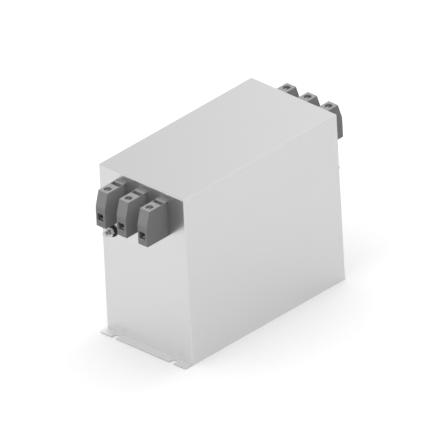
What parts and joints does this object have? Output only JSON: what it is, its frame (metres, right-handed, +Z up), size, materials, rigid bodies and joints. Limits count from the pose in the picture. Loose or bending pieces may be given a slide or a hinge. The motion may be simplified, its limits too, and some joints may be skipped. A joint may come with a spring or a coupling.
{
  "type": "emi filter",
  "caption": "Three-phase EMI filter: tall metal case with feed-through screw terminals at both ends, earth studs and slotted mounting flanges.",
  "frame": {"origin": "on the underside of the base plate, under the middle of the case", "axes": "+Z up; -Y out of the line end, +Y out of the load end; X across the case"},
  "size_m": [0.1, 0.2406, 0.161],
  "materials": {
    "case_metal": "satin",
    "zinc_steel": "satin",
    "black_washer": "satin",
    "cage_steel": "satin",
    "terminal_plastic": "matte",
    "clip_plastic": "matte",
    "tinned_copper": "satin",
    "enamelled_wire": "gloss",
    "core_case": "matte",
    "insulator": "matte",
    "board_resin": "satin",
    "x_capacitor_plastic": "matte",
    "y_capacitor_plastic": "matte",
    "resistor_body": "matte"
  },
  "bodies": {
    "root": {"base_plate": "case_metal", "base_screws": "zinc_steel", "board_screws": "zinc_steel", "board_spacers": "zinc_steel", "case_shell": "case_metal", "choke_nuts": "zinc_steel", "choke_studs": "zinc_steel", "circuit_board": "board_resin", "clinch_nuts": "zinc_steel", "discharge_resistors": "resistor_body", "earth_lock_washers": "black_washer", "earth_nuts": "zinc_steel", "line_bar_1": "tinned_copper", "line_bar_2": "tinned_copper", "line_bar_3": "tinned_copper", "line_choke_clamp": "insulator", "line_choke_core": "core_case", "line_choke_divider": "insulator", "line_choke_seat": "insulator", "line_clamp_cages": "cage_steel", "line_clamp_screws": "cage_steel", "line_earth_stud": "zinc_steel", "line_flange": "case_metal", "line_locking_clips": "clip_plastic", "line_terminal_1": "terminal_plastic", "line_terminal_2": "terminal_plastic", "line_terminal_3": "terminal_plastic", "line_winding_1": "enamelled_wire", "line_winding_2": "enamelled_wire", "line_winding_3": "enamelled_wire", "line_x_capacitor_1": "x_capacitor_plastic", "line_x_capacitor_2": "x_capacitor_plastic", "line_x_capacitor_3": "x_capacitor_plastic", "load_bar_1": "tinned_copper", "load_bar_2": "tinned_copper", "load_bar_3": "tinned_copper", "load_choke_clamp": "insulator", "load_choke_core": "core_case", "load_choke_divider": "insulator", "load_choke_seat": "insulator", "load_clamp_cages": "cage_steel", "load_clamp_screws": "cage_steel", "load_earth_stud": "zinc_steel", "load_flange": "case_metal", "load_locking_clips": "clip_plastic", "load_terminal_1": "terminal_plastic", "load_terminal_2": "terminal_plastic", "load_terminal_3": "terminal_plastic", "load_winding_1": "enamelled_wire", "load_winding_2": "enamelled_wire", "load_winding_3": "enamelled_wire", "load_x_capacitor_1": "x_capacitor_plastic", "load_x_capacitor_2": "x_capacitor_plastic", "load_x_capacitor_3": "x_capacitor_plastic", "y_capacitor_1": "y_capacitor_plastic", "y_capacitor_2": "y_capacitor_plastic"}
  },
  "joints": []
}
